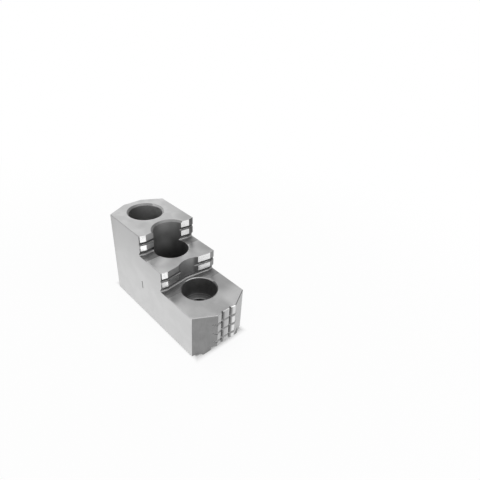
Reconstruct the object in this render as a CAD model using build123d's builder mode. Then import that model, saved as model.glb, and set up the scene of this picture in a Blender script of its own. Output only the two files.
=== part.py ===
from build123d import *
from math import radians, tan
import os

# Hard top jaw for a power lathe chuck, hardened steel, one solid.
# Frame: X runs along the jaw from the tail to the nose, Y across it, Z up from the serration crests.
# The origin is under the middle of the jaw, on the plane of the serration crests. Millimetres.

# Block
length = 87.0
width = 35.0
tail_chamfer_run = 6.0
tail_chamfer_width = 11.7
nose_chamfer_run = 6.7
nose_chamfer_width = 11.7
edge_break = 0.35

# Steps, counted from the nose towards the tail
low_floor_height = 26.5
step_rise = 12.5
low_floor_run = 31.3
mid_floor_run = 19.1

# Gripping walls: two hollow faces per wall that meet in the middle, with a turned-back outer margin
wall_hollow = 2.0
margin_width = 3.5
margin_setback = 0.8
tooth_groove_height = 2.2
tooth_groove_depth = 0.9
tooth_groove_root_radius = 0.5
tooth_height = 3.3
corner_groove_height = 3.2
corner_groove_depth = 1.5
corner_groove_root_radius = 0.9
floor_relief_run = 5.5
floor_relief_depth = 0.25

# Toothed nose
nose_grip_radius = 30.0
nose_groove_depth = 1.4
nose_groove_mouth = 1.9
nose_groove_root = 0.5
nose_row_pitch = 6.0
nose_row_count = 3
nose_top_row_height = 6.3
nose_column_count = 3
nose_column_pitch = 5.2
nose_column_groove_mouth = 1.9

# Screw holes
hole_pitch = 25.0
nose_to_first_hole = 22.3
through_diameter = 13.5
counterbore_diameter = 19.0
counterbore_floor_height = 13.5
top_mouth_chamfer = 1.0
low_mouth_chamfer = 0.6
through_mouth_chamfer = 0.5
head_relief_clearance = 1.8

# Base: key groove, serrated strips and the undercut below the nose
key_groove_width = 14.0
key_groove_depth = 5.0
key_groove_corner_radius = 1.2
serration_pitch = 1.5
serration_depth = 1.0
serration_crest_flat = 0.17
serration_angle = 60.0
serrated_length = 83.5

# Places worked out from the sizes above
half_width = width / 2
x_tail = -length / 2
x_nose = length / 2
x_low_wall = x_nose - low_floor_run
x_mid_wall = x_low_wall - mid_floor_run
mid_floor_height = low_floor_height + step_rise
top_height = mid_floor_height + step_rise
tail_flat_half = half_width - tail_chamfer_width
nose_flat_half = half_width - nose_chamfer_width
x_base_end = x_tail + serrated_length
x_first_hole = x_nose - nose_to_first_hole
hole_mouths = {
    x_first_hole: (low_floor_height, low_mouth_chamfer),
    x_first_hole - hole_pitch: (top_height, top_mouth_chamfer),
    x_first_hole - 2 * hole_pitch: (top_height, top_mouth_chamfer),
}
counterbore_radius = counterbore_diameter / 2
through_radius = through_diameter / 2
groove_side_chamfer = (key_groove_width - through_diameter) / 2
head_relief_radius = counterbore_radius + head_relief_clearance
floors = {x_low_wall: low_floor_height, x_mid_wall: mid_floor_height}
serration_crest_half = serration_crest_flat / 2
serration_gap_half = serration_pitch / 2 - serration_crest_half
serration_root_half = serration_gap_half - serration_depth * tan(radians(serration_angle / 2))
serration_gap_count = int((serrated_length - serration_crest_half) / serration_pitch)
cut_margin = 1.0


def wall_line(x_wall):
    """Plan of a gripping wall: set-back margins outside, two hollow faces between them."""
    x_ridge = x_wall + margin_setback
    y_ridge = half_width - margin_width
    return [
        (x_wall, -half_width),
        (x_ridge, -y_ridge),
        (x_ridge - wall_hollow, 0),
        (x_ridge, y_ridge),
        (x_wall, half_width),
    ]


def stretched_wall_line(x_wall):
    """The same plan, carried on past both sides of the jaw along its outer margins."""
    slope = margin_setback / margin_width
    line = wall_line(x_wall)
    line[0] = (x_wall - slope * cut_margin, -half_width - cut_margin)
    line[-1] = (x_wall - slope * cut_margin, half_width + cut_margin)
    return line


def step_block(x_wall, floor_height):
    """One upper step: the tail outline closed by a gripping wall, standing on the step below."""
    with BuildSketch(Plane.XY.offset(floor_height)) as plan:
        with BuildLine():
            Polyline(
                *wall_line(x_wall),
                (x_tail + tail_chamfer_run, half_width),
                (x_tail, tail_flat_half),
                (x_tail, -tail_flat_half),
                (x_tail + tail_chamfer_run, -half_width),
                close=True,
            )
        make_face()
    extrude(plan.sketch, amount=step_rise)


def cut_tooth_groove(x_wall, foot_height, groove_height, depth, root_radius):
    """An undercut along a gripping wall: a level floor, a rounded root and a roof that slopes out."""
    with BuildLine(Plane.XY.offset(foot_height)) as run:
        Polyline(*stretched_wall_line(x_wall))
    along = run.line % 0
    into_wall = along.cross(Vector(0, 0, -1))
    with BuildSketch(Plane(origin=run.line @ 0, x_dir=into_wall, z_dir=along)) as section:
        with BuildLine():
            Line((-cut_margin, 0), (depth - root_radius, 0))
            JernArc((depth - root_radius, 0), (1, 0), radius=root_radius, arc_size=90)
            Polyline(
                (depth, root_radius),
                (0, groove_height),
                (-cut_margin, groove_height),
                (-cut_margin, 0),
            )
        make_face()
    sweep(section.sketch, path=run.wires()[0], transition=Transition.RIGHT, mode=Mode.SUBTRACT)


with BuildPart() as hard_jaw:
    # Lowest block: full length, chamfered at tail and nose, its nose hollowed to a large radius
    with BuildSketch():
        with BuildLine():
            Polyline(
                (x_nose, -nose_flat_half),
                (x_nose - nose_chamfer_run, -half_width),
                (x_tail + tail_chamfer_run, -half_width),
                (x_tail, -tail_flat_half),
                (x_tail, tail_flat_half),
                (x_tail + tail_chamfer_run, half_width),
                (x_nose - nose_chamfer_run, half_width),
                (x_nose, nose_flat_half),
            )
            RadiusArc((x_nose, nose_flat_half), (x_nose, -nose_flat_half), -nose_grip_radius)
        make_face()
    extrude(amount=low_floor_height)

    # The two steps above it
    step_block(x_low_wall, low_floor_height)
    step_block(x_mid_wall, mid_floor_height)

    # Broken edges: along both sides and round tail and nose at each level, and the upright corners
    side_edges = hard_jaw.edges().filter_by(Axis.X).filter_by(lambda e: e.center().Z > cut_margin)
    side_upright_edges = hard_jaw.edges().filter_by(Axis.Z).filter_by(
        lambda e: abs(e.center().Y) > half_width - edge_break
    )
    tail_upright_edges = hard_jaw.edges().filter_by(Axis.Z).filter_by(
        lambda e: e.center().X < x_tail + edge_break
    )
    tail_top_edges = hard_jaw.edges().filter_by(
        lambda e: e.center().X < x_tail + tail_chamfer_run and e.center().Z > top_height - edge_break
    )
    nose_top_edges = hard_jaw.edges().filter_by(
        lambda e: e.center().X > x_nose - nose_chamfer_run
        and abs(e.center().Z - low_floor_height) < edge_break
    )
    chamfer(
        side_edges + side_upright_edges + tail_upright_edges + tail_top_edges + nose_top_edges,
        length=edge_break,
    )

    # Undercut below the nose, where the serrated base stops short
    with BuildSketch(Plane.XZ):
        with Locations((x_base_end, 0)):
            Rectangle(length, key_groove_depth, align=(Align.MIN, Align.MIN))
    extrude(amount=width, both=True, mode=Mode.SUBTRACT)

    # Key groove along the base, with rounded floor corners
    with BuildSketch(Plane.YZ.offset(x_tail - cut_margin)):
        groove_section = Rectangle(key_groove_width, 2 * key_groove_depth)
        fillet(groove_section.vertices(), radius=key_groove_corner_radius)
    extrude(amount=length + 2 * cut_margin, mode=Mode.SUBTRACT)

    # Shallow relief in each floor, next to its wall, below the ground surface
    for x_wall, floor_height in floors.items():
        with BuildSketch(Plane.XY.offset(floor_height)):
            with BuildLine():
                Polyline(
                    *stretched_wall_line(x_wall),
                    (x_wall + floor_relief_run, half_width + cut_margin),
                    (x_wall + floor_relief_run, -half_width - cut_margin),
                    close=True,
                )
            make_face()
        extrude(amount=-floor_relief_depth, mode=Mode.SUBTRACT)

    # Tooth grooves: one at the foot of each wall, level with the relief, and one between its rows of teeth
    for x_wall, floor_height in floors.items():
        cut_tooth_groove(
            x_wall,
            floor_height - floor_relief_depth,
            floor_relief_depth + corner_groove_height,
            corner_groove_depth,
            corner_groove_root_radius,
        )
        cut_tooth_groove(
            x_wall,
            floor_height + corner_groove_height + tooth_height,
            tooth_groove_height,
            tooth_groove_depth,
            tooth_groove_root_radius,
        )

    # Round relief in the low wall, clear of the screw head that goes down beside it
    with BuildSketch(Plane.XY.offset(low_floor_height)):
        with Locations((x_first_hole, 0)):
            Circle(head_relief_radius)
    extrude(amount=step_rise, mode=Mode.SUBTRACT)

    # Screw holes: counterbores down to one common level, clearance holes through to the key groove,
    # chamfers round both mouths and one out to the width of the key groove
    for x_hole, (rim_height, mouth_chamfer) in hole_mouths.items():
        with BuildSketch(Plane.XY.offset(counterbore_floor_height)):
            with Locations((x_hole, 0)):
                Circle(counterbore_radius)
        extrude(amount=top_height, mode=Mode.SUBTRACT)
        with BuildSketch():
            with Locations((x_hole, 0)):
                Circle(through_radius)
        extrude(amount=top_height, mode=Mode.SUBTRACT)
        with Locations((x_hole, 0, rim_height)):
            Cone(
                counterbore_radius,
                counterbore_radius + mouth_chamfer,
                mouth_chamfer,
                align=(Align.CENTER, Align.CENTER, Align.MAX),
                mode=Mode.SUBTRACT,
            )
        with Locations((x_hole, 0, counterbore_floor_height)):
            Cone(
                through_radius,
                through_radius + through_mouth_chamfer,
                through_mouth_chamfer,
                align=(Align.CENTER, Align.CENTER, Align.MAX),
                mode=Mode.SUBTRACT,
            )
        with Locations((x_hole, 0, key_groove_depth)):
            Cone(
                through_radius + groove_side_chamfer,
                through_radius,
                groove_side_chamfer,
                align=(Align.CENTER, Align.CENTER, Align.MIN),
                mode=Mode.SUBTRACT,
            )

    # Nose teeth: level grooves straight across, which run out on the chamfers
    with BuildSketch(Plane.XZ):
        for row in range(nose_row_count):
            z_row = low_floor_height - nose_top_row_height - row * nose_row_pitch
            with BuildLine():
                Polyline(
                    (x_nose + cut_margin, z_row - nose_groove_mouth / 2),
                    (x_nose, z_row - nose_groove_mouth / 2),
                    (x_nose - nose_groove_depth, z_row - nose_groove_root / 2),
                    (x_nose - nose_groove_depth, z_row + nose_groove_root / 2),
                    (x_nose, z_row + nose_groove_mouth / 2),
                    (x_nose + cut_margin, z_row + nose_groove_mouth / 2),
                    close=True,
                )
            make_face()
    extrude(amount=half_width, both=True, mode=Mode.SUBTRACT)

    # Upright grooves between the columns of nose teeth
    with BuildSketch():
        for column in range(nose_column_count - 1):
            y_groove = (column + 1 - nose_column_count / 2) * nose_column_pitch
            x_root = x_nose - nose_groove_depth
            with BuildLine():
                Polyline(
                    (x_nose + cut_margin, y_groove - nose_column_groove_mouth / 2),
                    (x_nose, y_groove - nose_column_groove_mouth / 2),
                    (x_root, y_groove - nose_groove_root / 2),
                    (x_root, y_groove + nose_groove_root / 2),
                    (x_nose, y_groove + nose_column_groove_mouth / 2),
                    (x_nose + cut_margin, y_groove + nose_column_groove_mouth / 2),
                    close=True,
                )
            make_face()
    extrude(amount=low_floor_height + cut_margin, mode=Mode.SUBTRACT)

    # Serrations: V gaps straight across the base, cut from the end of the base to the tail
    with BuildSketch(Plane.XZ):
        for gap in range(serration_gap_count):
            x_gap = x_base_end - (gap + 0.5) * serration_pitch
            with BuildLine():
                Polyline(
                    (x_gap - serration_gap_half, 0),
                    (x_gap - serration_root_half, serration_depth),
                    (x_gap + serration_root_half, serration_depth),
                    (x_gap + serration_gap_half, 0),
                    close=True,
                )
            make_face()
    extrude(amount=half_width + cut_margin, both=True, mode=Mode.SUBTRACT)

hard_jaw.part.label = "hard_jaw"

os.makedirs("parts", exist_ok=True)
export_step(hard_jaw.part, "parts/hard_jaw.step")
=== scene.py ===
from math import radians

import bmesh
import bpy
import numpy as np
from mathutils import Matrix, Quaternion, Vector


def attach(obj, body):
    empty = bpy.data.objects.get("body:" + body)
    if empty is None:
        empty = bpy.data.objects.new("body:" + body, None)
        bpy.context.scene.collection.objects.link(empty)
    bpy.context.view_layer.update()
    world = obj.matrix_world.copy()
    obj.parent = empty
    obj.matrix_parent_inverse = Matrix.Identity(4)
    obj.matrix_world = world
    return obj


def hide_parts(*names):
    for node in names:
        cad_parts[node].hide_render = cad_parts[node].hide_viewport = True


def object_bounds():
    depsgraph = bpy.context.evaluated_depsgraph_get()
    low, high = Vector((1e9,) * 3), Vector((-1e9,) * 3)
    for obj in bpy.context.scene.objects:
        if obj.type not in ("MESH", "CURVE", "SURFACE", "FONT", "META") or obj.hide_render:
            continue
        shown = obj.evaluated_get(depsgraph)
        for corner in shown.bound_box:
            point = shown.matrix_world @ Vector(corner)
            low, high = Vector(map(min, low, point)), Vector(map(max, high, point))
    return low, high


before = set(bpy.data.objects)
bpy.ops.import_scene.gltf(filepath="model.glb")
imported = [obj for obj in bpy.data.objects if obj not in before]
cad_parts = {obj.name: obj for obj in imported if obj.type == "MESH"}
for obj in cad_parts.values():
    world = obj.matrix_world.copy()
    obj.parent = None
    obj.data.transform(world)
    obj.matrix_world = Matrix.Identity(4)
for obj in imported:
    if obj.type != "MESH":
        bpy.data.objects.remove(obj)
cad_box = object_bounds()
scene = bpy.context.scene
scene.view_settings.view_transform = "Standard"

MM = 0.001

# The jaw's sizes that its finishes and its numeral follow, in millimetres
(TAIL_FACE, _, _), (NOSE_FACE, HALF_WIDTH, TOP) = np.round(np.array(cad_box) / MM, 3).tolist()
EDGE_BREAK = 0.4
CHAMFER_RUN = 6.7

# Steps, and the bands along their walls that the grinding wheel never reached
STEP_RISE = 12.5
MIDDLE_FLOOR = TOP - STEP_RISE
LOW_FLOOR = MIDDLE_FLOOR - STEP_RISE
BAND_RUN = 5.5
BAND_DEPTH = 0.25

# Gripping walls, given at their ridges, and how far lands and grooves reach behind those
LOW_WALL = NOSE_FACE - 31.3
MIDDLE_WALL = LOW_WALL - 19.1
RIDGE = HALF_WIDTH - 3.5
LAND_DEPTH = 1.4
WALL_DEPTH = 3.4
TOOTH_GROOVE_FOOT = 6.75

# Nose: half its flat, its upright grooves' distance from the middle, and how far it is cut
NOSE_FLAT_HALF = HALF_WIDTH - 11.7
NOSE_GROOVE = 2.6
NOSE_GROOVE_HALF = 0.9
NOSE_GROOVE_RUNOUT = 2.6
NOSE_DEPTH = 2.0

# Holes, counted from the nose
LOW_HOLE, MIDDLE_HOLE, TAIL_HOLE = range(3)
FIRST_HOLE = NOSE_FACE - 22.3
HOLE_PITCH = 25.0
COUNTERBORE_RADIUS = 9.5
COUNTERBORE_FLOOR = 13.5
MOUTH_CHAMFER = 1.0
HEAD_RELIEF_RADIUS = COUNTERBORE_RADIUS + 1.8

# Base
GROOVE_HALF = 7.0
GROOVE_DEPTH = 5.0
SERRATION_DEPTH = 1.0
BASE_END = TAIL_FACE + 83.5

# How near a face's middle lies to the size that it belongs to, and a hair for rounding
CLOSE = 0.1
HAIR = 0.05

# The numeral stamped into the side: its place, its stroke, and how far its flanks close in
NUMERAL_X = -7.5
NUMERAL_FOOT = 17.5
NUMERAL_HEIGHT = 4.6
STROKE_WIDTH = 0.85
STAMP_DEPTH = 0.22
STAMP_FLOOR_SHARE = 0.25
CUTTER_CLEARANCE = 0.3

# Places on the floors and the top where light is painted, and where shade is painted: point, reach and
# share
PAINTED_LIGHT_SPOTS = (
    ((0.5, -11.0, MIDDLE_FLOOR), 8.0, 1.0),
)
PAINTED_SHADE_SPOTS = (
    ((6.0, 18.0, MIDDLE_FLOOR), 10.0, 0.6),
    ((-11.0, 15.0, TOP), 9.0, 0.5),
    ((-19.0, -11.0, TOP), 8.0, 0.25),
    ((18.5, -17.5, LOW_FLOOR), 7.0, 0.6),
)

# Edges that bend more than this, in degrees, stay crisp. Up to the key groove's ceiling the
# rounds have coarser facets, so a larger bend still counts as smooth there.
CRISP_BEND = 11
CRISP_BEND_BELOW = 30

# The jaw's finishes, in the order of its material slots
GROUND, GRIPPING, MILLED, BORED, BASE, RELIEF, MILLED_PAINTED_LIGHT, NOSE, GROOVE, MILLED_PAINTED_SHADE, RIM = range(11)

# Arcs of the hole mouths with painted light: hole, finish, and angles in degrees from +X towards +Y
MOUTH_ARCS = (
    (LOW_HOLE, RIM, 90, 195),
    (LOW_HOLE, MILLED_PAINTED_LIGHT, 270, 345),
    (TAIL_HOLE, MILLED_PAINTED_LIGHT, 275, 485),
)


# Shader maths


class Num:
    """A socket that carries a number. Each operator adds the Math node that works it out."""

    def __init__(self, nodes, socket):
        self.nodes = nodes
        self.socket = socket

    def __add__(self, other):
        return self.nodes.math("ADD", self, other)

    __radd__ = __add__

    def __sub__(self, other):
        return self.nodes.math("SUBTRACT", self, other)

    def __rsub__(self, other):
        return self.nodes.math("SUBTRACT", other, self)

    def __mul__(self, other):
        return self.nodes.math("MULTIPLY", self, other)

    __rmul__ = __mul__

    def __truediv__(self, other):
        return self.nodes.math("DIVIDE", self, other)

    def __abs__(self):
        return self.nodes.math("ABSOLUTE", self)

    def sqrt(self):
        return self.nodes.math("SQRT", self)

    def larger(self, other):
        return self.nodes.math("MAXIMUM", self, other)

    def wrap(self, low, high):
        """The number brought between low and high by whole steps of their difference."""
        return self.nodes.math("WRAP", self, high, low)

    def clamp(self):
        return self.nodes.math("ADD", self, 0.0, use_clamp=True)

    def ramp(self, low, high):
        """0 below low, 1 above high, and a smooth step between."""
        made = self.nodes.node(
            "ShaderNodeMapRange",
            {"interpolation_type": "SMOOTHSTEP"},
            {"Value": self, "From Min": low, "From Max": high},
        )
        return Num(self.nodes, made.outputs["Result"])


class Nodes:
    """A node tree, and the calls that add nodes to it."""

    def __init__(self, tree):
        self.tree = tree

    def link(self, socket, value):
        if isinstance(value, Num):
            value = value.socket
        if isinstance(value, bpy.types.NodeSocket):
            self.tree.links.new(value, socket)
        else:
            socket.default_value = value

    def node(self, kind, settings=None, inputs=()):
        """Adds a node, sets its settings first, then the values or links of its sockets."""
        made = self.tree.nodes.new(kind)
        for name, value in (settings or {}).items():
            setattr(made, name, value)
        pairs = inputs.items() if isinstance(inputs, dict) else enumerate(inputs)
        for name, value in pairs:
            self.link(made.inputs[name], value)
        return made

    def math(self, operation, *values, use_clamp=False):
        """The result of one Math node on sockets and numbers."""
        settings = {"operation": operation, "use_clamp": use_clamp}
        return Num(self, self.node("ShaderNodeMath", settings, values).outputs[0])


class Finish(Nodes):
    """One material with a Principled shader. Its x, y and z are the object's, in millimetres."""

    def __init__(self, name, metallic, roughness):
        self.material = bpy.data.materials.new(name)
        self.material.use_nodes = True
        super().__init__(self.material.node_tree)
        self.shader = self.tree.nodes["Principled BSDF"]
        self.shader.inputs["Metallic"].default_value = metallic
        self.shader.inputs["Roughness"].default_value = roughness
        self.place = self.node("ShaderNodeTexCoord").outputs["Object"]
        parts = self.node("ShaderNodeSeparateXYZ", inputs=[self.place])
        self.x, self.y, self.z = (Num(self, out) / MM for out in parts.outputs)

    def noise_at(self, place, detail=3.0, roughness=0.5):
        """Noise from 0 to 1, with one cell per unit of the given place."""
        made = self.node(
            "ShaderNodeTexNoise",
            inputs={"Vector": place, "Scale": 1.0, "Detail": detail, "Roughness": roughness},
        )
        return Num(self, made.outputs[0])

    def noise(self, per_mm, detail=3.0, roughness=0.5, seed=0.0):
        """Noise from 0 to 1, with its own number of cells per millimetre along X, Y and Z."""
        scaled = self.node(
            "ShaderNodeVectorMath",
            {"operation": "MULTIPLY_ADD"},
            [self.place, [n / MM for n in per_mm], [seed, 1.7 * seed, -2.3 * seed]],
        )
        return self.noise_at(scaled.outputs[0], detail, roughness)

    def near(self, point, reach):
        """1 close to a point given in millimetres, and 0 beyond its reach."""
        centre = [p * MM for p in point]
        away = self.node("ShaderNodeVectorMath", {"operation": "DISTANCE"}, [self.place, centre])
        return 1.0 - (Num(self, away.outputs["Value"]) / MM).ramp(0.3 * reach, reach)

    def up_to(self, floor):
        """1 on a floor and below it, and 0 on the floors above."""
        return 1.0 - self.z.ramp(floor + 1.5, floor + 3.5)

    def mix(self, factor, first, second):
        """Colour first where factor is 0, and second where it is 1."""
        # The node keeps its factor in socket 0 and its two colours in sockets 6 and 7
        made = self.node("ShaderNodeMix", {"data_type": "RGBA"}, {0: factor, 6: first, 7: second})
        return made.outputs[2]

    def bump(self, height, depth_mm, normal=None):
        """A normal bent by the height, on top of another normal if one is given."""
        inputs = {"Strength": 1.0, "Distance": depth_mm * MM, "Height": height}
        if normal is not None:
            inputs["Normal"] = normal
        return self.node("ShaderNodeBump", inputs=inputs).outputs["Normal"]

    def edges(self, radius_mm):
        """Rounded normal near the edges, and a mask that is 1 on them."""
        rounded = self.node("ShaderNodeBevel", {"samples": 6}, {"Radius": radius_mm * MM}).outputs[0]
        flat = self.node("ShaderNodeNewGeometry").outputs["Normal"]
        facing = self.node("ShaderNodeVectorMath", {"operation": "DOT_PRODUCT"}, [rounded, flat])
        return rounded, (1.0 - Num(self, facing.outputs["Value"])).ramp(0.02, 0.2)

    def set(self, **sockets):
        for name, value in sockets.items():
            self.link(self.shader.inputs[name.replace("_", " ")], value)
        return self.material


class Room(Nodes):
    """The surroundings, given by how bright each direction is."""

    def __init__(self, world):
        world.use_nodes = True
        super().__init__(world.node_tree)
        self.way = self.node("ShaderNodeTexCoord").outputs["Generated"]

    def towards(self, direction, low, high):
        """1 round a direction, 0 far from it; low and high are cosines of the angle from it."""
        unit = np.array(direction, float)
        unit = (unit / np.linalg.norm(unit)).tolist()
        along = self.node("ShaderNodeVectorMath", {"operation": "DOT_PRODUCT"}, [self.way, unit])
        return Num(self, along.outputs["Value"]).ramp(low, high)

    def show(self, level):
        """Lights, and shows in steel, with the given level. The eye itself sees plain white."""
        seen = self.node("ShaderNodeLightPath").outputs["Is Camera Ray"]
        lit = self.node("ShaderNodeBackground", inputs=[grey(1.0), level])
        plain = self.node("ShaderNodeBackground", inputs=[grey(1.0), 1.0])
        mixed = self.node("ShaderNodeMixShader", inputs=[seen, lit.outputs[0], plain.outputs[0]])
        self.link(self.tree.nodes["World Output"].inputs[0], mixed.outputs[0])


def grey(level):
    """A linear grey as a colour."""
    return (level, level, level, 1.0)


# Finishes of the steel


def ground_steel():
    """Surface-ground faces: fine lines along the jaw, faint clouds and a few thin scratches.
    The sides have painted shade, darker upwards and at the tail, and the floors have places of painted
    light and painted shade."""
    f = Finish("ground_steel", 1.0, 0.34)
    fine = f.noise((0.05, 7.0, 7.0), detail=2.0, seed=3.1)
    lines = f.noise((0.02, 1.6, 1.6), detail=3.0, seed=7.7)
    clouds = f.noise((0.06, 0.06, 0.06), detail=3.0, seed=1.3)
    patches = f.noise((0.13, 0.13, 0.13), detail=2.0, seed=14.3).ramp(0.38, 0.62)
    specks = f.noise((1.1, 1.1, 1.1), detail=4.0, roughness=0.7, seed=5.9).ramp(0.66, 0.78)
    scratch = f.noise((0.35, 5.0, 2.2), detail=1.0, seed=11.0).ramp(0.735, 0.79)
    rounded, edge = f.edges(0.12)
    tone = (fine * 0.35 + lines * 0.4 + clouds * 0.9 - 0.35).clamp()
    colour = f.mix(tone, grey(0.62), grey(0.76))

    side = abs(f.y).ramp(HALF_WIDTH - 0.3, HALF_WIDTH - 0.05)
    tail_end = (1.0 - f.x.ramp(-40.0, -29.0)) * f.z.ramp(12.0, 20.0)
    # Painted shade on the sides, darker upwards and towards the tail
    side_painted_shade = 0.1 + 0.55 * f.z.ramp(16.0, 56.0) + 0.25 * tail_end
    colour = f.mix(side * side_painted_shade, colour, grey(0.40))
    colour = f.mix(patches * (0.34 - 0.2 * side), colour, grey(0.46))

    # Painted light on both lower floors at the left.
    # The right half of the low one has painted light in front and painted shade behind.
    low = f.up_to(LOW_FLOOR)
    left = (1.0 - f.y.ramp(-16.0, -7.0)) * f.up_to(MIDDLE_FLOOR) * (1.0 - 0.8 * f.x.ramp(30.0, 35.0))
    right = f.y.ramp(1.5, 7.0) * f.x.ramp(27.0, 38.0) * low
    painted_light = left * 0.5 + right
    for point, reach, share in PAINTED_LIGHT_SPOTS:
        painted_light = painted_light + f.near(point, reach) * share
    painted_shade = f.y.ramp(6.0, 10.0) * (1.0 - f.x.ramp(26.0, 34.0)) * low * 0.5
    for point, reach, share in PAINTED_SHADE_SPOTS:
        painted_shade = painted_shade + f.near(point, reach) * share
    colour = f.mix((painted_light * (1.0 - side)).clamp(), colour, grey(0.90))
    colour = f.mix((painted_shade * (1.0 - side)).clamp(), colour, grey(0.40))

    colour = f.mix(specks * 0.28, colour, grey(0.38))
    colour = f.mix(scratch * 0.35, colour, grey(0.80))
    # Painted highlight along the edges
    colour = f.mix(edge * 0.3, colour, grey(0.80))
    height = fine * 0.6 + lines * 0.5 - scratch * 0.8
    return f.set(
        Base_Color=colour,
        Roughness=0.27 + 0.04 * side + 0.08 * fine + 0.07 * clouds + 0.12 * specks - 0.06 * edge,
        Normal=f.bump(height, 0.006, rounded),
    )


def nose_steel():
    """Pads of the nose: ground, with painted light growing towards the right, darker at the upper
    right, and painted shade just right of each upright groove."""
    f = Finish("nose_steel", 1.0, 0.3)
    lines = f.noise((3.0, 3.0, 0.4), detail=2.0, seed=4.4)
    marks = f.noise((0.8, 0.8, 0.8), detail=4.0, roughness=0.65, seed=3.2).ramp(0.55, 0.75)
    rounded, edge = f.edges(0.08)
    past_groove = (f.y + NOSE_GROOVE).wrap(0.0, 2 * NOSE_GROOVE)
    # Painted light, growing towards the right
    colour = f.mix(f.y.ramp(-0.5, NOSE_FLAT_HALF), grey(0.45), grey(0.85))
    colour = f.mix(f.y.ramp(1.0, 4.0) * f.z.ramp(18.0, 22.0) * 0.35, colour, grey(0.45))
    colour = f.mix(lines * 0.25, colour, grey(0.55))
    # Painted shade just right of each upright groove, widening its dark line
    colour = f.mix((1.0 - past_groove.ramp(0.9, 2.0)) * 0.7, colour, grey(0.12))
    colour = f.mix(marks * 0.25, colour, grey(0.4))
    # Painted highlight along the edges
    colour = f.mix(edge * 0.3, colour, grey(0.8))
    return f.set(
        Base_Color=colour,
        Roughness=0.26 + 0.08 * lines + 0.10 * marks,
        Normal=f.bump(lines, 0.002, rounded),
    )


def gripping_steel():
    """Gripping lands: finish-ground and bright, with contact marks, a painted highlight at the low
    wall's foot, and rougher with painted shade from the left ridge to the middle."""
    f = Finish("gripping_steel", 1.0, 0.2)
    lines = f.noise((3.0, 3.0, 0.8), detail=2.0, seed=2.4)
    marks = f.noise((0.6, 0.6, 0.6), detail=2.0, roughness=0.5, seed=8.2).ramp(0.52, 0.72)
    rounded, edge = f.edges(0.05)
    # Painted shade from the left ridge to the middle, where the lands are also rougher
    painted_shade = f.y.ramp(0.1 - RIDGE, 0.3 - RIDGE) * (1.0 - f.y.ramp(-2.0, 0.0))
    colour = f.mix(lines * 0.4, grey(0.84), grey(0.94))
    # Painted highlight at the low wall's foot
    colour = f.mix(1.0 - f.z.ramp(31.0, 33.0), colour, grey(0.99))
    colour = f.mix(painted_shade, colour, grey(0.42))
    colour = f.mix(marks * 0.2, colour, grey(0.55))
    # Painted highlight along the edges
    colour = f.mix(edge * 0.3, colour, grey(0.93))
    return f.set(
        Base_Color=colour,
        Roughness=0.24 + 0.05 * lines + 0.12 * marks + 0.22 * painted_shade,
        Normal=f.bump(lines, 0.001, rounded),
    )


def milled_steel(name, dark, light):
    """Faces left as milled and hardened: crossing cutter marks and small pale flecks."""
    f = Finish(name, 1.0, 0.45)
    marks = f.noise((1.3, 1.3, 0.25), detail=3.0, seed=4.5)
    clouds = f.noise((0.16, 0.16, 0.16), detail=4.0, roughness=0.6, seed=9.4)
    flecks = f.noise((1.6, 1.6, 1.6), detail=3.0, seed=6.6).ramp(0.66, 0.76)
    rounded, edge = f.edges(0.1)
    tone = (marks * 0.5 + clouds * 0.9 - 0.25).clamp()
    colour = f.mix(tone, grey(dark), grey(light))
    colour = f.mix(flecks * 0.25, colour, grey(light + 0.14))
    # Painted highlight along the edges
    colour = f.mix(edge * 0.4, colour, grey(0.65))
    return f.set(
        Base_Color=colour,
        Roughness=0.40 + 0.12 * clouds + 0.05 * marks,
        Normal=f.bump(marks + 0.5 * clouds, 0.008, rounded),
    )


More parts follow.
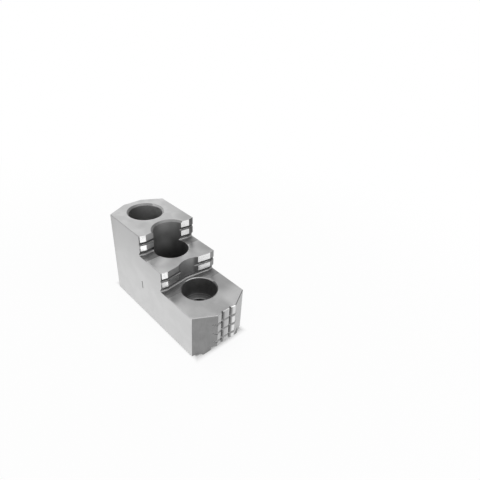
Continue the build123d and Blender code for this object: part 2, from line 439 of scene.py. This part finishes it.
def bored_steel():
    """Holes and counterbores: dark with painted shade, with rings round each hole's own axis on walls
    and floors, and light and shade painted in places.
    """
    f = Finish("bored_steel", 1.0, 0.38)
    along = (f.x - FIRST_HOLE).wrap(-HOLE_PITCH / 2, HOLE_PITCH / 2)
    from_axis = (along * along + f.y * f.y).sqrt()
    ring_place = f.node("ShaderNodeCombineXYZ", inputs=[from_axis * 5.0, f.z * 5.0, 0.0])
    rings = f.noise_at(ring_place.outputs[0])
    clouds = f.noise((0.2, 0.2, 0.12), detail=4.0, roughness=0.6, seed=3.3)
    rounded, edge = f.edges(0.1)
    tone = (rings * 0.5 + clouds * 0.7 - 0.15).clamp()
    # The dark base is painted shade
    colour = f.mix(tone, grey(0.22), grey(0.35))

    # Painted light: the tail hole grows brighter towards its right wall
    tail = 1.0 - f.x.ramp(FIRST_HOLE - 1.6 * HOLE_PITCH, FIRST_HOLE - 1.5 * HOLE_PITCH)
    tail_painted_light = f.mix((along * 0.56 + f.y * 0.83).ramp(-9.0, 5.0), grey(0.28), grey(0.74))
    colour = f.mix(tail * 0.9, colour, tail_painted_light)

    # Painted highlight down the back of the middle hole
    head = from_axis.ramp(HEAD_RELIEF_RADIUS - 0.7, HEAD_RELIEF_RADIUS - 0.4)
    back_highlight = (0.0 - along).ramp(6.5, 9.2) * f.z.ramp(28.0, 36.0) * (1.0 - f.z.ramp(37.0, 43.0))
    colour = f.mix(back_highlight * (1.0 - tail) * (1.0 - head) * 0.6, colour, grey(0.6))

    # Painted light: pale counterbore floors, and a paler ring on the wall just above them
    high = f.z - COUNTERBORE_FLOOR
    colour = f.mix((1.0 - abs(high).ramp(0.02, 0.08)) * 0.35, colour, grey(0.55))
    wall = from_axis.ramp(COUNTERBORE_RADIUS - 0.2, COUNTERBORE_RADIUS - 0.1)
    ring = (1.0 - abs(high - 1.25).ramp(0.05, 0.2)) * wall
    colour = f.mix(ring * 0.6, colour, grey(0.9))

    # Painted light on the head relief just right of its middle, and painted shade towards both its
    # ends
    pale = f.y.ramp(-5.0, 3.6) * (1.0 - f.y.ramp(3.7, 5.0))
    ends = 1.0 - 0.5 * f.y.ramp(-5.8, -4.8) - 0.5 * (1.0 - f.y.ramp(4.0, 5.2))
    colour = f.mix(head * pale * 0.42, colour, grey(0.52))
    colour = f.mix(head * ends * 0.6, colour, grey(0.1))

    # Painted shade: black in the screw holes
    colour = f.mix((1.0 - high.ramp(-0.6, -0.45)) * 0.9, colour, grey(0.03))
    # Painted highlight along the edges
    colour = f.mix(edge * 0.3, colour, grey(0.5))
    return f.set(
        Base_Color=colour,
        Roughness=0.42 + 0.10 * clouds + 0.05 * rings,
        Normal=f.bump(rings, 0.008, rounded),
    )


def relief_steel():
    """Sunk bands along the walls, left unground: dark and rough, and darkest at both ends of
    the low one."""
    f = Finish("relief_steel", 1.0, 0.5)
    marks = f.noise((0.5, 2.5, 1.0), detail=3.0, seed=6.1)
    clouds = f.noise((0.3, 0.3, 0.3), detail=4.0, roughness=0.6, seed=12.4)
    rounded, edge = f.edges(0.08)
    tone = (marks * 0.6 + clouds * 0.8 - 0.2).clamp()
    ends = abs(f.y).ramp(9.0, 15.0) * f.up_to(LOW_FLOOR)
    colour = f.mix(tone, grey(0.35), grey(0.54))
    colour = f.mix(ends * 0.2, colour, grey(0.2))
    # Painted highlight along the edges
    colour = f.mix(edge * 0.4, colour, grey(0.55))
    return f.set(
        Base_Color=colour,
        Roughness=0.46 + 0.12 * clouds,
        Normal=f.bump(marks + clouds, 0.01, rounded),
    )


def groove_steel():
    """Insides of the walls' grooves: a pale rounded foot, and black painted shade above it."""
    f = Finish("groove_steel", 1.0, 0.45)
    clouds = f.noise((0.4, 0.4, 0.4), detail=4.0, roughness=0.6, seed=15.2)
    above = (f.z - (LOW_FLOOR - BAND_DEPTH)).wrap(0.0, STEP_RISE)
    over_corner = above.ramp(0.3, 0.75) * (1.0 - above.ramp(5.0, 5.5))
    over_tooth = above.ramp(TOOTH_GROOVE_FOOT + 0.08, TOOTH_GROOVE_FOOT + 0.3)
    colour = f.mix(clouds, grey(0.32), grey(0.44))
    # Painted shade, black, above each groove's foot
    colour = f.mix((over_corner + over_tooth) * 0.9, colour, grey(0.07))
    return f.set(
        Base_Color=colour,
        Roughness=0.40 + 0.15 * clouds,
        Normal=f.bump(clouds, 0.01),
    )


def base_steel():
    """Serrations and key groove: form-ground across the jaw, mid grey, with painted shade at the
    roots.
    """
    f = Finish("base_steel", 1.0, 0.4)
    lines = f.noise((5.0, 0.1, 5.0), detail=2.0, seed=5.2)
    clouds = f.noise((0.1, 0.1, 0.1), detail=4.0, roughness=0.6, seed=2.9)
    depth = f.z.ramp(0.0, SERRATION_DEPTH)
    strip = abs(f.y).ramp(GROOVE_HALF - 0.1, GROOVE_HALF + 0.1)
    rounded, edge = f.edges(0.08)
    tone = (lines * 0.4 + clouds * 0.8 - 0.15).clamp()
    colour = f.mix(tone, grey(0.40), grey(0.56))
    # Painted shade, darker towards the serrations' roots
    colour = f.mix(depth * strip * 0.5, colour, grey(0.26))
    # Painted highlight along the edges
    colour = f.mix(edge * 0.4, colour, grey(0.8))
    return f.set(
        Base_Color=colour,
        Roughness=0.36 + 0.1 * clouds + 0.06 * lines,
        Normal=f.bump(lines, 0.005, rounded),
    )


# The jaw with its numeral


def numeral_cutter():
    """The numeral 1 as a closed wedge. Three rings of the same outline, joined by walls: one
    outside the side, one level with it, and one at the stamp's depth, where each point has
    come most of the way towards the middle of the stroke."""
    half = STROKE_WIDTH / 2
    foot = NUMERAL_FOOT
    top = NUMERAL_FOOT + NUMERAL_HEIGHT
    # Each row: along and up of a point of the outline, then of the stroke's middle beside it
    rows = np.array(
        [
            [-half, foot - 0.1, 0.0, foot],
            [half, foot - 0.1, 0.0, foot],
            [half, top, 0.0, top],
            [-0.05, top + 0.1, 0.0, top],
            [-1.0, top - 0.62, -0.45, top - 0.45],
            [-0.8, top - 0.98, -0.45, top - 0.45],
            [-half, top - 0.62, 0.0, top - 0.5],
        ]
    )
    outline, middle = rows[:, :2], rows[:, 2:]
    inner = middle + STAMP_FLOOR_SHARE * (outline - middle)
    count = len(outline)
    rings = (
        (outline, -HALF_WIDTH - CUTTER_CLEARANCE),
        (outline, -HALF_WIDTH),
        (inner, -HALF_WIDTH + STAMP_DEPTH),
    )
    points = np.concatenate(
        [np.column_stack([ring[:, 0] + NUMERAL_X, np.full(count, y), ring[:, 1]]) for ring, y in rings]
    )
    step = np.arange(count)
    following = np.roll(step, -1)
    lids = [step[::-1].tolist(), (step + 2 * count).tolist()]
    walls = []
    for start in (0, count):
        quads = [step + start, following + start, following + start + count, step + start + count]
        walls += np.column_stack(quads).tolist()
    mesh = bpy.data.meshes.new("numeral_cutter")
    mesh.from_pydata((points * MM).tolist(), [], walls + lids)
    shape = bmesh.new()
    shape.from_mesh(mesh)
    bmesh.ops.recalc_face_normals(shape, faces=shape.faces)
    shape.to_mesh(mesh)
    shape.free()
    cutter = bpy.data.objects.new("numeral_cutter", mesh)
    scene.collection.objects.link(cutter)
    return cutter


def dressed_jaw(node):
    """A merged copy of the jaw with the numeral stamped in, its curved walls smooth and its
    edges crisp."""
    mesh = node.data.copy()
    shape = bmesh.new()
    shape.from_mesh(mesh)
    bmesh.ops.remove_doubles(shape, verts=shape.verts, dist=0.0005 * MM)
    shape.to_mesh(mesh)
    shape.free()
    jaw = bpy.data.objects.new("jaw", mesh)
    scene.collection.objects.link(jaw)

    cutter = numeral_cutter()
    stamp = jaw.modifiers.new("stamp", "BOOLEAN")
    stamp.operation = "DIFFERENCE"
    stamp.solver = "EXACT"
    stamp.object = cutter
    evaluated = jaw.evaluated_get(bpy.context.evaluated_depsgraph_get())
    cut = bpy.data.meshes.new_from_object(evaluated)
    jaw.modifiers.clear()
    jaw.data = cut
    bpy.data.objects.remove(cutter)

    for name in ("custom_normal", "sharp_face"):
        if name in cut.attributes:
            cut.attributes.remove(cut.attributes[name])
    shape = bmesh.new()
    shape.from_mesh(cut)
    for face in shape.faces:
        face.smooth = True
    for edge in shape.edges:
        below = max(v.co.z for v in edge.verts) < (GROOVE_DEPTH + CLOSE) * MM
        crisp = CRISP_BEND_BELOW if below else CRISP_BEND
        edge.smooth = edge.calc_face_angle(0.0) < radians(crisp)
    shape.to_mesh(cut)
    shape.free()
    return jaw


# Which face has which finish


class Faces:
    """The middles, in millimetres, and the normals of a mesh's faces, and the finish of each.
    A later call of give() takes a face over from an earlier one."""

    def __init__(self, mesh):
        count = len(mesh.polygons)
        middle = np.empty(count * 3)
        normal = np.empty(count * 3)
        mesh.polygons.foreach_get("center", middle)
        mesh.polygons.foreach_get("normal", normal)
        self.x, self.y, self.z = middle.reshape(-1, 3).T / MM
        self.nx, self.ny, self.nz = normal.reshape(-1, 3).T
        self.upright = abs(self.nz) < 0.1
        self.sloping = (self.nz > 0.5) & (self.nz < 0.9)
        self.finish = np.full(count, GROUND, np.int32)

    def give(self, finish, where):
        self.finish[where] = finish


def finish_bands(faces):
    """The sunk bands are level, but lie at no floor's height."""
    on_a_floor = np.zeros(len(faces.z), bool)
    for floor in (LOW_FLOOR, MIDDLE_FLOOR):
        on_a_floor |= abs(faces.z - floor) <= CLOSE
    between = (faces.z > LOW_FLOOR - BAND_DEPTH - CLOSE) & (faces.z < TOP - CLOSE)
    faces.give(RELIEF, (faces.nz > 0.99) & between & ~on_a_floor)


def finish_ends(faces):
    """Chamfers of the tail and the nose, and the nose's pads and grooves."""
    x, y, z = faces.x, faces.y, faces.z
    turned_away = (abs(faces.nx) > 0.8) & (abs(faces.nx) < 0.93)
    slant = turned_away & faces.upright & (abs(y) > NOSE_FLAT_HALF)
    at_nose = x > NOSE_FACE - CHAMFER_RUN
    at_tail = x < TAIL_FACE + CHAMFER_RUN
    faces.give(MILLED, slant & (at_nose | at_tail))
    # Painted light: the right nose chamfer gets a lighter copy of the milled finish
    faces.give(MILLED_PAINTED_LIGHT, slant & at_nose & (y > 0))

    nose = (x > NOSE_FACE - NOSE_DEPTH) & (abs(y) < NOSE_FLAT_HALF + NOSE_GROOVE_RUNOUT)
    nose = nose & (z > GROOVE_DEPTH) & ~slant
    grooves = nose & (z < LOW_FLOOR - EDGE_BREAK)
    upright_grooves = (abs(abs(y) - NOSE_GROOVE) < NOSE_GROOVE_HALF) & (x < NOSE_FACE - 0.3)
    # Painted shade on the level grooves, kept only at their left ends
    faces.give(MILLED_PAINTED_SHADE, grooves)
    # Painted light on the level grooves, except at their left ends
    faces.give(MILLED_PAINTED_LIGHT, grooves & (y > -NOSE_FLAT_HALF))
    faces.give(MILLED, grooves & upright_grooves)
    faces.give(NOSE, nose & (faces.nx > 0.9) & faces.upright & (x > NOSE_FACE - 0.8))


def finish_walls(faces):
    """Gripping walls: bright lands, right margins given darker finishes as painted shade, and dark
    grooves, with the broken edges at each foot's ends as rough as the sunk band between them."""
    x, y, z = faces.x, faces.y, faces.z
    # Each wall's right margin gets a darker finish, as painted shade
    for wall, foot, right_margin in (
        (LOW_WALL, LOW_FLOOR, MILLED),
        (MIDDLE_WALL, MIDDLE_FLOOR, MILLED_PAINTED_SHADE),
    ):
        near = (x < wall + 1.0) & (x > wall - WALL_DEPTH) & (abs(y) < HALF_WIDTH - HAIR)
        near = near & (z > foot - CLOSE) & (z < foot + STEP_RISE + CLOSE) & (faces.nz < 0.97)
        land = near & (faces.nx > 0.95) & faces.upright & (x > wall - LAND_DEPTH)
        foot_end = (abs(y) > HALF_WIDTH - EDGE_BREAK) & (abs(z - foot) < 0.5) & faces.sloping
        faces.give(GROOVE, near)
        faces.give(RELIEF, foot_end & (x > wall - 0.5) & (x < wall + BAND_RUN))
        faces.give(GRIPPING, land)
        faces.give(right_margin, land & (y > RIDGE))


def finish_holes(faces):
    """Holes and counterbores, and their mouth chamfers, paler where they face the light."""
    x, y, z = faces.x, faces.y, faces.z
    for hole in (LOW_HOLE, MIDDLE_HOLE, TAIL_HOLE):
        along = x - FIRST_HOLE + hole * HOLE_PITCH
        from_axis = np.hypot(along, y)
        turn = np.degrees(np.arctan2(y, along))
        mouth = (from_axis > COUNTERBORE_RADIUS) & faces.sloping
        mouth = mouth & (from_axis < COUNTERBORE_RADIUS + MOUTH_CHAMFER + CLOSE)
        mouth = mouth & (z > LOW_FLOOR - MOUTH_CHAMFER - CLOSE)
        faces.give(MILLED, mouth)
        for arc_hole, finish, start, end in MOUTH_ARCS:
            if arc_hole == hole:
                faces.give(finish, mouth & ((turn - start) % 360 < end - start))
        wall = (from_axis < COUNTERBORE_RADIUS + HAIR) & (z > GROOVE_DEPTH + HAIR) & (faces.nz < 0.9)
        floor = (from_axis < COUNTERBORE_RADIUS) & (abs(z - COUNTERBORE_FLOOR) < CLOSE)
        faces.give(BORED, wall | floor)


def finish_nose_edges(faces):
    """The broken edges between the low floor and the nose's chamfers."""
    at_chamfer = (faces.x > NOSE_FACE - CHAMFER_RUN) & (abs(faces.y) > NOSE_FLAT_HALF)
    broken = at_chamfer & faces.sloping & (faces.z > LOW_FLOOR - EDGE_BREAK)
    # Painted highlight on the left broken edge
    faces.give(MILLED_PAINTED_LIGHT, broken & (faces.y < 0))
    faces.give(MILLED, broken & (faces.y > 0))


def finish_head_relief(faces):
    """The round relief in the low wall. Its faces' middles lie just inside its radius."""
    from_axis = np.hypot(faces.x - FIRST_HOLE, faces.y)
    round_wall = (from_axis > HEAD_RELIEF_RADIUS - 0.3) & (from_axis < HEAD_RELIEF_RADIUS + CLOSE)
    in_low_wall = (faces.z > LOW_FLOOR) & (faces.z < MIDDLE_FLOOR) & (faces.x < LOW_WALL + 1.0)
    faces.give(BORED, round_wall & in_low_wall & faces.upright)


def finish_base(faces):
    """Serrations, the key groove and the undercut below the nose, whose back is as milled."""
    low = faces.z < GROOVE_DEPTH + 0.3
    serrations = (faces.z < SERRATION_DEPTH + HAIR) & (abs(faces.ny) < 0.5)
    key_groove = (abs(faces.y) < GROOVE_HALF + HAIR) & low
    faces.give(BASE, serrations | key_groove | ((faces.nz < -0.9) & low))
    undercut = (faces.nx > 0.9) & (faces.z < GROOVE_DEPTH) & (faces.x > BASE_END - CLOSE)
    faces.give(MILLED, undercut)


def finish_numeral(faces):
    """The stamped numeral's flanks and floor."""
    sunk = faces.y + HALF_WIDTH
    above_foot = faces.z - NUMERAL_FOOT
    stamped = (abs(faces.x - NUMERAL_X) < 1.5) & (sunk > 0.01) & (sunk < STAMP_DEPTH + 0.01)
    stamped = stamped & (above_foot > -0.5) & (above_foot < NUMERAL_HEIGHT + 0.5)
    faces.give(MILLED, stamped)


def face_finishes(mesh):
    """The finish of each face, as numbers of material slots."""
    faces = Faces(mesh)
    finish_bands(faces)
    finish_ends(faces)
    finish_walls(faces)
    finish_holes(faces)
    finish_nose_edges(faces)
    finish_head_relief(faces)
    finish_base(faces)
    finish_numeral(faces)
    return faces.finish


hard_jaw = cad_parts["hard_jaw"]
jaw = dressed_jaw(hard_jaw)
jaw.data.materials.clear()
for material in (
    ground_steel(),
    gripping_steel(),
    milled_steel("milled_steel", 0.22, 0.35),
    bored_steel(),
    base_steel(),
    relief_steel(),
    # Lighter copy of the milled finish, for painted light
    milled_steel("milled_steel_painted_light", 0.42, 0.56),
    nose_steel(),
    groove_steel(),
    # Darkest copy of the milled finish, for painted shade
    milled_steel("milled_steel_painted_shade", 0.08, 0.16),
    # Lighter copy of the milled finish, for painted light on a hole's rim
    milled_steel("rim_steel", 0.46, 0.58),
):
    jaw.data.materials.append(material)
jaw.data.polygons.foreach_set("material_index", face_finishes(jaw.data))
jaw.data.update()
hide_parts("hard_jaw")
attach(jaw, "root")


# Floor, light and camera, in metres


def lay_floor():
    """White paper. It is plain for the light, and level white for the eye and for mirroring
    steel, with enough of its own shade left to show the jaw's shadow. Under the jaw itself it
    stays plain, so dark."""
    half = 1.5
    drop = 0.00002
    corners = [(x, y, -drop) for x, y in ((-half, -half), (half, -half), (half, half), (-half, half))]
    mesh = bpy.data.meshes.new("floor")
    mesh.from_pydata(corners, [], [(0, 1, 2, 3)])
    floor = bpy.data.objects.new("floor", mesh)
    scene.collection.objects.link(floor)

    f = Finish("white_paper", 0.0, 0.9)
    f.set(Base_Color=grey(0.86))
    path = f.node("ShaderNodeLightPath").outputs
    seen = Num(f, path["Is Camera Ray"])
    for kind in ("Is Glossy Ray", "Is Transmission Ray"):
        seen = seen.larger(path[kind])
    beside = abs(f.x).ramp(BASE_END - 2.0, BASE_END + 3.0)
    beside = beside.larger(abs(f.y).ramp(HALF_WIDTH - 3.0, HALF_WIDTH + 1.0))
    away = (f.x * f.x + f.y * f.y).sqrt().ramp(90.0, 300.0)
    white = f.node("ShaderNodeEmission", inputs={"Color": grey(1.0)}).outputs[0]
    part = seen * beside * (0.93 + 0.07 * away)
    mixed = f.node("ShaderNodeMixShader", inputs=[part, f.shader.outputs[0], white])
    f.link(f.tree.nodes["Material Output"].inputs[0], mixed.outputs[0])
    mesh.materials.append(f.material)


def light_room():
    """A white room that grows darker overhead, with four darker sides and a bright panel
    before the nose, and one large soft lamp above."""
    # Darker sides: direction, the cosines between which each fades in, and its darkening
    dark_sides = (
        ((-0.75, -0.6, 0.25), 0.85, 0.97, 0.45),
        ((0.42, 0.74, 0.46), 0.86, 0.95, 0.55),
        ((-0.35, 0.66, 0.67), 0.92, 0.99, 0.6),
        ((0.24, 0.95, 0.17), 0.93, 0.985, 0.85),
    )
    world = bpy.data.worlds.new("white_room")
    scene.world = world
    room = Room(world)
    overhead = room.towards((0, 0, 1), 0.375, 0.53)
    before_nose = room.towards((0.77, 0.15, 0.61), 0.88, 0.96)
    level = 1.12 - 0.44 * overhead
    for direction, low, high, darkening in dark_sides:
        level = level * (1.0 - darkening * room.towards(direction, low, high))
    room.show(level + 1.05 * before_nose)

    lamp = bpy.data.lights.new("softbox", "AREA")
    lamp.shape = "SQUARE"
    lamp.size = 1.0
    lamp.energy = 1.2
    holder = bpy.data.objects.new("softbox", lamp)
    scene.collection.objects.link(holder)
    holder.location = (-0.1, -0.15, 0.7)
    holder.visible_camera = False
    holder.rotation_mode = "QUATERNION"
    holder.rotation_quaternion = (-holder.location).to_track_quat("-Z", "Y")


def set_camera():
    """The photograph's own viewpoint, found from the corners and hole rims of the jaw."""
    lens = bpy.data.cameras.new("camera")
    lens.sensor_width = 36.0
    lens.lens = 28.2515
    lens.clip_start = 0.01
    lens.clip_end = 20.0
    camera = bpy.data.objects.new("camera", lens)
    scene.collection.objects.link(camera)
    camera.rotation_mode = "QUATERNION"
    camera.rotation_quaternion = Quaternion((0.7979657, 0.4558668, 0.1642553, 0.3584081))
    camera.location = (0.1437763, -0.0985967, 0.1563098)
    scene.camera = camera


lay_floor()
light_room()
set_camera()
